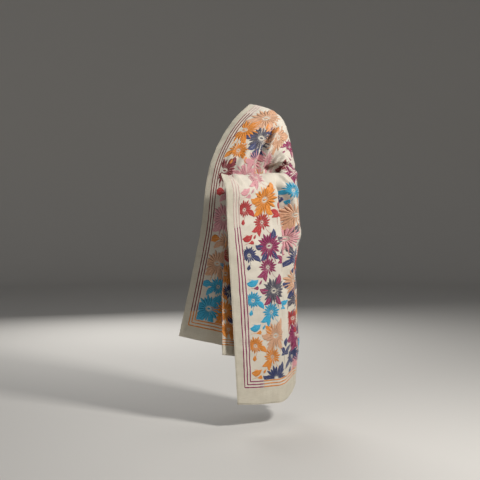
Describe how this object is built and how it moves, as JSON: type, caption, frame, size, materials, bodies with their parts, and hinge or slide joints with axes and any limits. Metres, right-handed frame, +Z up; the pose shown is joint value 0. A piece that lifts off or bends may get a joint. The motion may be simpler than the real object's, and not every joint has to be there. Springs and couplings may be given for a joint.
{
  "type": "kantha dupatta",
  "caption": "Long rectangular tussar silk stole with kantha embroidery, worn over the left shoulder and hung over the bent left forearm, as one draped length of cloth.",
  "frame": {"origin": "crest of the wearer's left shoulder, in the middle of the cloth's wall where the shoulder holds it up", "axes": "+Z up, the wearer faces -Y, +X towards the wearer's left arm"},
  "size_m": [0.5582, 0.4699, 1.3418],
  "materials": {
    "tussar_cloth": "undyed tussar silk, slubbed plain weave with a soft sheen",
    "embroidery_thread": "dyed silk embroidery thread in rows of short running stitches"
  },
  "bodies": {
    "root": {"chest_fall": "tussar_cloth", "shoulder_wrap": "tussar_cloth", "back_fall": "tussar_cloth", "inner_fall": "tussar_cloth", "forearm_wrap": "tussar_cloth", "side_fall": "tussar_cloth", "front_fall": "tussar_cloth"}
  },
  "joints": []
}
